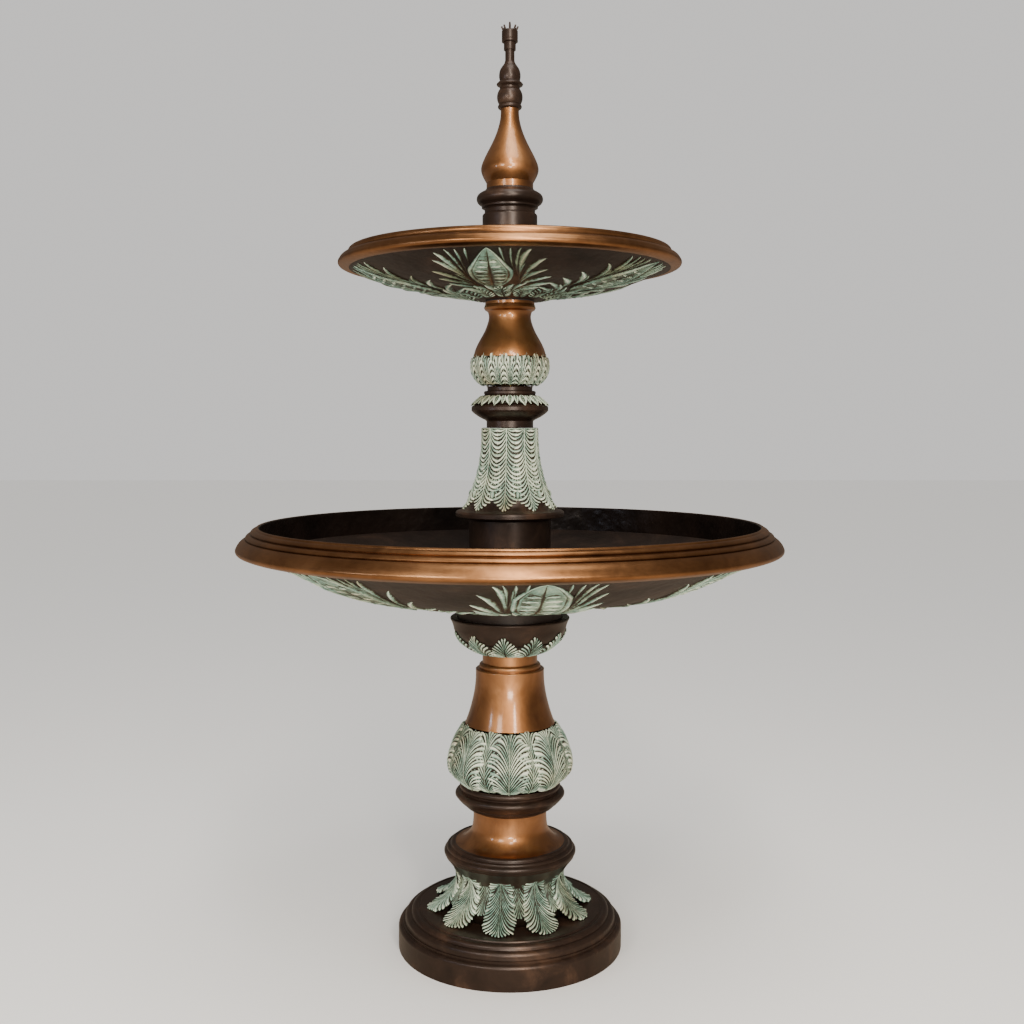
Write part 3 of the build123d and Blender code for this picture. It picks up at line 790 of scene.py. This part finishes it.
def skirt_leaves():
    """Ten broad leaves that flow off the pedestal's foot and lie with round tips on the plinth."""
    low, high = span("base_leaf_skirt")
    cove = [(r, z) for r, z in side_outline("base_torus_ring", 0) if z < high + 32]
    wall = Wall(side_outline("base_leaf_skirt", SKIRT_TURN) + cove)
    relief = Relief(wall, root=-5.5, seed=13)
    head, tip = wall.at_height(high + 19), 2
    on_plinth = span("base_plinth")[1] + 0.5
    relief.sheet(wall.at_height(low + 46), wall.at_height(high - 0.5), -4.2, -8,
                 [(160, on_plinth), (172, on_plinth)])
    front = [(0, 34), (0.25, 36), (0.45, 41), (0.64, 48), (0.78, 50), (0.9, 40), (0.97, 22), (1, 0)]
    back = [(0, 30), (0.4, 38), (0.75, 36), (0.93, 20), (1, 0)]
    turns = [SKIRT_TURN + 36 * i for i in range(10)]
    for turn in turns:
        leaf(relief, turn + 18, head, wall.at_height(low + 31), back, 12, 44, 4, crest=3.6, lift=-3.4, dome=2,
             lobe=4, tone=0.6, finger=0.12, rib=(3, 1.2))
    for turn in turns:
        leaf(relief, turn, head, tip, front, 19, 64, 3, crest=4.2, lift=-1.8, dome=3.2, lobe=4, notch=0.14,
             finger=0.16, tone=0.8, rib=(3.5, 1.4), lean=relief.shift(6))
    return relief.piece("skirt_leaf_casting", "base_leaf_skirt", "verdigris_bronze")


def cup_leaves():
    """Collar of eleven pointed leaves, tips up, under the support cup."""
    low, high = span("support_cup_leaves")
    wall = Wall(side_outline("support_cup_leaves", CUP_TURN))
    relief = Relief(wall, root=-4.2, seed=14)
    foot, tip = wall.at_height(low + 1.5), wall.at_height(high - 1)
    relief.sheet(wall.at_height(low + 0.6), wall.at_height(low + 37), -1.6, -4)
    outline = [(0, 34), (0.3, 44), (0.5, 40), (0.75, 27), (0.92, 12), (1, 0)]
    for i in range(11):
        leaf(relief, CUP_TURN + i * 360 / 11, foot, tip, outline, 10, 46, 0, crest=3.4, lift=-1.2, dome=1.8,
             lobe=4, notch=0.14, finger=0.14, tone=0.8)
    return relief.piece("cup_leaf_casting", "support_cup_leaves", "verdigris_bronze")


def waist_leaves():
    """Sixteen small grooved leaves that hang over the waist ring, with narrow ones between."""
    low, high = span("waist_leaf_collar")
    wall = Wall(side_outline("waist_leaf_collar", 0, 40))
    relief = Relief(wall, root=-1.6, seed=15)
    head, tip = wall.at_height(high - 0.5), wall.at_height(low + 1)
    relief.sheet(wall.at_height(low + 8), wall.at_height(high - 0.2), -0.8, -1.4)
    for i in range(16):
        turn = i * 22.5
        lance(relief, turn + 11.25, head, tip + 4, 15, crest=1.6, base_lift=-0.8)
        lance(relief, turn, head, tip, 27, crest=2.2, base_lift=0.0, belly=0.8)
    return relief.piece("waist_leaf_casting", "waist_leaf_collar", "verdigris_bronze")


def vase_leaves():
    """Rounded bulb of two layers of upright leaves."""
    low, high = span("vase_leaf_bulb")
    neck = [(r + 2.2, z) for r, z in side_outline("vase_neck", 0) if z < high + 22]
    wall = Wall(side_outline("vase_leaf_bulb", 0)[:-2] + neck)
    relief = Relief(wall, root=-5, seed=16)
    foot, tip = wall.at_height(low + 3), wall.at_height(high + 13)
    relief.sheet(wall.at_height(low + 1), wall.at_height(high + 4), -3, -7)
    outline = [(0, 10), (0.35, 16), (0.7, 18), (0.9, 12), (1, 0)]
    for i in range(20):
        leaf(relief, (i + 0.5) * 18, foot, tip - 2 + relief.shift(2), outline, 6, 84, 8, crest=3, lift=-2.6,
             dome=1.8, lobe=6, notch=0.04, finger=0.06, rib=(3.4, 1.4))
    for i in range(20):
        leaf(relief, i * 18, foot, tip - 11 + relief.shift(2), outline, 6, 80, 8, crest=3.2, lift=-0.6,
             dome=2.2, lobe=6, notch=0.04, finger=0.06, rib=(3.4, 1.4), lean=relief.shift(2))
    return relief.piece("vase_leaf_casting", "vase_leaf_bulb", "verdigris_bronze")


# The palmettes under the bowls. A frond is (rise of its base, its base as a share of the stem's half width,
# rise of its end, its end as a share of the reach). A rise is a share of the way from foot to tip.
FAN = [(0.0, 0.12, 0.27, 0.26), (0.02, 0.3, 0.3, 0.52), (0.1, 0.5, 0.2, 0.76), (0.14, 0.6, 0.35, 0.92),
       (0.19, 0.72, 0.5, 1.0), (0.25, 0.82, 0.66, 1.02), (0.32, 0.9, 0.83, 0.97), (0.42, 0.98, 0.96, 0.82)]
# Thin leaves close by the spade, whose ends are shares of the stem's half width too
CLOSE_BY = [(0.5, 1.0, 0.99, 1.5), (0.62, 0.92, 0.98, 1.08), (0.72, 0.7, 0.99, 0.66)]
FROND_POINTS = 22
RIB_POINTS = 12


def spade(relief, turn, foot, tip, width, depth, taper, lean):
    """Heart-shaped leaf of a palmette: a raised rim round two columns of curved ribs."""
    place = (foot, 1, FRONT + math.radians(turn))
    size = tip - foot
    t = np.linspace(0, 1, 34)
    round_foot = np.sin(math.pi / 2 * np.minimum(1, t / 0.5)) ** 0.6
    pointed = np.clip((1 - t) / taper, 0, 1) ** (0.35 + taper)
    outline = np.maximum(width / 2 * round_foot * pointed, 0.6)
    line = np.stack([t * size, lean * size * (t - 0.5)], axis=1)
    crest = depth * np.minimum(1, 3 * (1.05 - t))
    # Painted light: the spade's rim is darker at its foot and lighter towards its point
    relief.ridge(place, line, outline, crest, 0, HEART, 0.55 + 0.45 * t ** 0.7)
    for i in range(6):
        here = 0.12 + 0.11 * i
        broad = float(np.interp(here + 0.12, t, outline))
        for side in (-1, 1):
            start = (here * size + 0.06 * size, side * 0.12 * broad + lean * size * (here - 0.44))
            path = swept(start, 52, 112, 0.6 * broad, side, RIB_POINTS)
            half, rise = rib_width(RIB_POINTS, 0.085 * size), 4.2 * plume(RIB_POINTS)
            # Painted highlights: ribs higher up the spade are lighter
            relief.ridge(place, path, half, rise, 0.6 * depth, ROUND, relief.vary(0.75 + 0.5 * here, 0.12))


def frond(relief, place, base, end, width, depth, tone):
    """Curved leaf of a palmette, thin at its base and broad towards a pointed tip that bends outwards."""
    base, end = np.array(base, float), np.array(end, float)
    t = np.linspace(0, 1, FROND_POINTS)[:, None]
    middle = base + (end - base) * (relief.vary(0.82, 0.08), relief.vary(0.36, 0.15))
    path = (1 - t) ** 2 * base + 2 * t * (1 - t) * middle + t ** 2 * end
    half = width / 2 * plume(FROND_POINTS, 0.2, 0.66, 0.4) ** 1.15
    # Painted highlight: the light level rises from the frond's base to its tip
    relief.ridge(place, path, np.maximum(half, 0.3), depth * plume(FROND_POINTS, 0.45, 0.6, 0.3), 0.2, ROUND,
                 tone * (0.22 + 0.95 * t[:, 0]))


def palmette(relief, turn, foot, tip, heart_foot, heart_width, stem, reach, depth, taper, lean):
    """One palmette: broad fronds that fan out on each side with thin ones between, and the spade leaf."""
    place = (0, 1, FRONT + math.radians(turn))
    high = tip - foot
    for side in (-1, 1):
        for start, near, finish, far in FAN:
            base = (foot + high * start, side * stem * near)
            end = (foot + high * finish + relief.shift(6), side * relief.vary(reach * far, 0.06))
            frond(relief, place, base, end, relief.vary(0.18 * reach, 0.15), relief.vary(depth, 0.1),
                  relief.vary(0.95, 0.12))
            between = (foot + high * (finish - 0.07) + relief.shift(5),
                       side * reach * (0.66 * far + relief.shift(0.05)))
            frond(relief, place, (base[0] - 4, base[1]), between, 0.1 * reach, 0.7 * depth, 0.6)
        for start, near, finish, far in CLOSE_BY:
            base = (foot + high * start, side * stem * near)
            end = (foot + high * finish, side * stem * far)
            frond(relief, place, base, end, 0.1 * reach, 0.75 * depth, 0.8)
    spade(relief, turn, heart_foot, tip - 3, heart_width, depth + 1, taper, lean)


def neck_leaves(relief, foot, tip, count, turn):
    """Ring of small acanthus leaves round the bowl's foot, under the palmettes."""
    outline = [(0, 16), (0.4, 26), (0.75, 29), (0.92, 17), (1, 0)]
    for i in range(count):
        leaf(relief, turn + i * 360 / count, foot, tip, outline, 7, 34, 3, crest=3.4, lift=0.6, dome=2.4,
             lobe=3, notch=0.16, tone=0.62)


def lower_palmettes():
    """Seven broad palmettes and a ring of leaves under the lower bowl."""
    edge = outer_radius("lower_bowl")
    wall = Wall(under_outline("lower_bowl", 152, edge - 2))
    relief = Relief(wall, root=-1.5, seed=17)
    foot, tip = wall.at_radius(205), wall.at_radius(edge - 8)
    neck_leaves(relief, wall.at_radius(172), wall.at_radius(285), 21, LOWER_PALMETTE_TURN)
    for i in range(7):
        palmette(relief, LOWER_PALMETTE_TURN + 360 * i / 7, foot, tip, wall.at_radius(370), heart_width=150,
                 stem=76, reach=165, depth=6.5, taper=0.3, lean=-0.06)
    return relief.piece("lower_palmette_relief", "lower_bowl_palmettes", "verdigris_bronze")


def upper_palmettes():
    """Five palmettes and a ring of leaves under the upper bowl."""
    edge = outer_radius("upper_bowl")
    wall = Wall(under_outline("upper_bowl", 87, edge - 1))
    relief = Relief(wall, root=-1.5, seed=18)
    foot, tip = wall.at_radius(105), wall.at_radius(edge - 6)
    neck_leaves(relief, wall.at_radius(98), wall.at_radius(176), 15, UPPER_PALMETTE_TURN)
    for i in range(5):
        palmette(relief, UPPER_PALMETTE_TURN + 72 * i, foot, tip, wall.at_radius(190), heart_width=120,
                 stem=66, reach=156, depth=6, taper=0.45, lean=0.09)
    return relief.piece("upper_palmette_relief", "upper_bowl_palmettes", "verdigris_bronze")


# The bowls' rims, turned finely so that their mouldings stay crisp

ARC_STEPS = 8
RIM_SEGMENTS = 300
GROOVE_REACH = 2.6    # how far the painted shade spreads out of a groove
CRISP_ANGLE = 24    # degrees between two faces whose edge stays sharp


def arc(start, middle, end):
    """Points of the arc through three points, after its start."""
    (ax, ay), (bx, by), (cx, cy) = start, middle, end
    d = 2 * (ax * (by - cy) + bx * (cy - ay) + cx * (ay - by))
    a2, b2, c2 = ax * ax + ay * ay, bx * bx + by * by, cx * cx + cy * cy
    x = (a2 * (by - cy) + b2 * (cy - ay) + c2 * (ay - by)) / d
    y = (a2 * (cx - bx) + b2 * (ax - cx) + c2 * (bx - ax)) / d
    radius = math.hypot(ax - x, ay - y)
    first, mid, last = (math.atan2(q - y, p - x) for p, q in (start, middle, end))
    turn = (last - first) % (2 * math.pi)
    if (mid - first) % (2 * math.pi) > turn:
        turn -= 2 * math.pi
    angles = [first + turn * i / ARC_STEPS for i in range(1, ARC_STEPS + 1)]
    return [(x + radius * math.cos(a), y + radius * math.sin(a)) for a in angles]


def rim(name, node, grooves, *steps):
    """Turned rim with painted shade in its grooves.

    Points count in from the rim's radius and down from its top. A step is one point, or an arc's
    middle and end.
    """
    radius, _, top = (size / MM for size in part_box(node)[1])
    points = [steps[0]]
    for step in steps[1:]:
        points += arc(points[-1], *step) if isinstance(step, list) else [step]
    relief = Relief()
    away = [min(math.dist(point, groove) for groove in grooves) for point in points]
    groove_shade = np.exp(-(np.array(away) / GROOVE_REACH) ** 2)
    relief.turned([(radius - back, top - down) for back, down in points], RIM_SEGMENTS, groove_shade)
    piece = relief.piece(name, node, "copper_rim")
    piece.data.set_sharp_from_angle(angle=math.radians(CRISP_ANGLE))
    return piece


def lower_rim():
    """Lip bead, groove, second bead, groove and a broad round that turns under the bowl."""
    return rim(
        "lower_rim_casting", "lower_bowl_rim", [(28, 30), (42, 16)],
        (54, 82), [(26, 79), (6, 72)], [(0.5, 66), (1.5, 57)], [(11, 42), (24, 32)], (28.5, 31.5), (27, 28),
        [(31, 22), (38, 19)], (42.5, 17.5), (41, 14), [(46, 8), (54, 5)], [(59, 0.3), (65, 3)],
        (65, 78), (58, 78), (58, 12), (34, 34), (11, 57), (11, 64), (54, 74))


def upper_rim():
    """Lip bead over a groove and a round."""
    return rim(
        "upper_rim_casting", "upper_bowl_rim", [(27.5, 17.5)],
        (30.5, 52.5), [(16.5, 52), (6.5, 48)], [(0.5, 42), (3, 32)], [(8.5, 24), (18.5, 19)], (26.5, 18.5),
        (28.5, 13), [(29.5, 4), (36.5, 0)], (39.5, 2),
        (39.5, 47), (33.5, 47), (33.5, 22), (13.5, 31), (9.5, 40), (30.5, 44))


lower_rim()
upper_rim()
leaf_bulb()
column_leaves()
skirt_leaves()
cup_leaves()
waist_leaves()
vase_leaves()
lower_palmettes()
upper_palmettes()
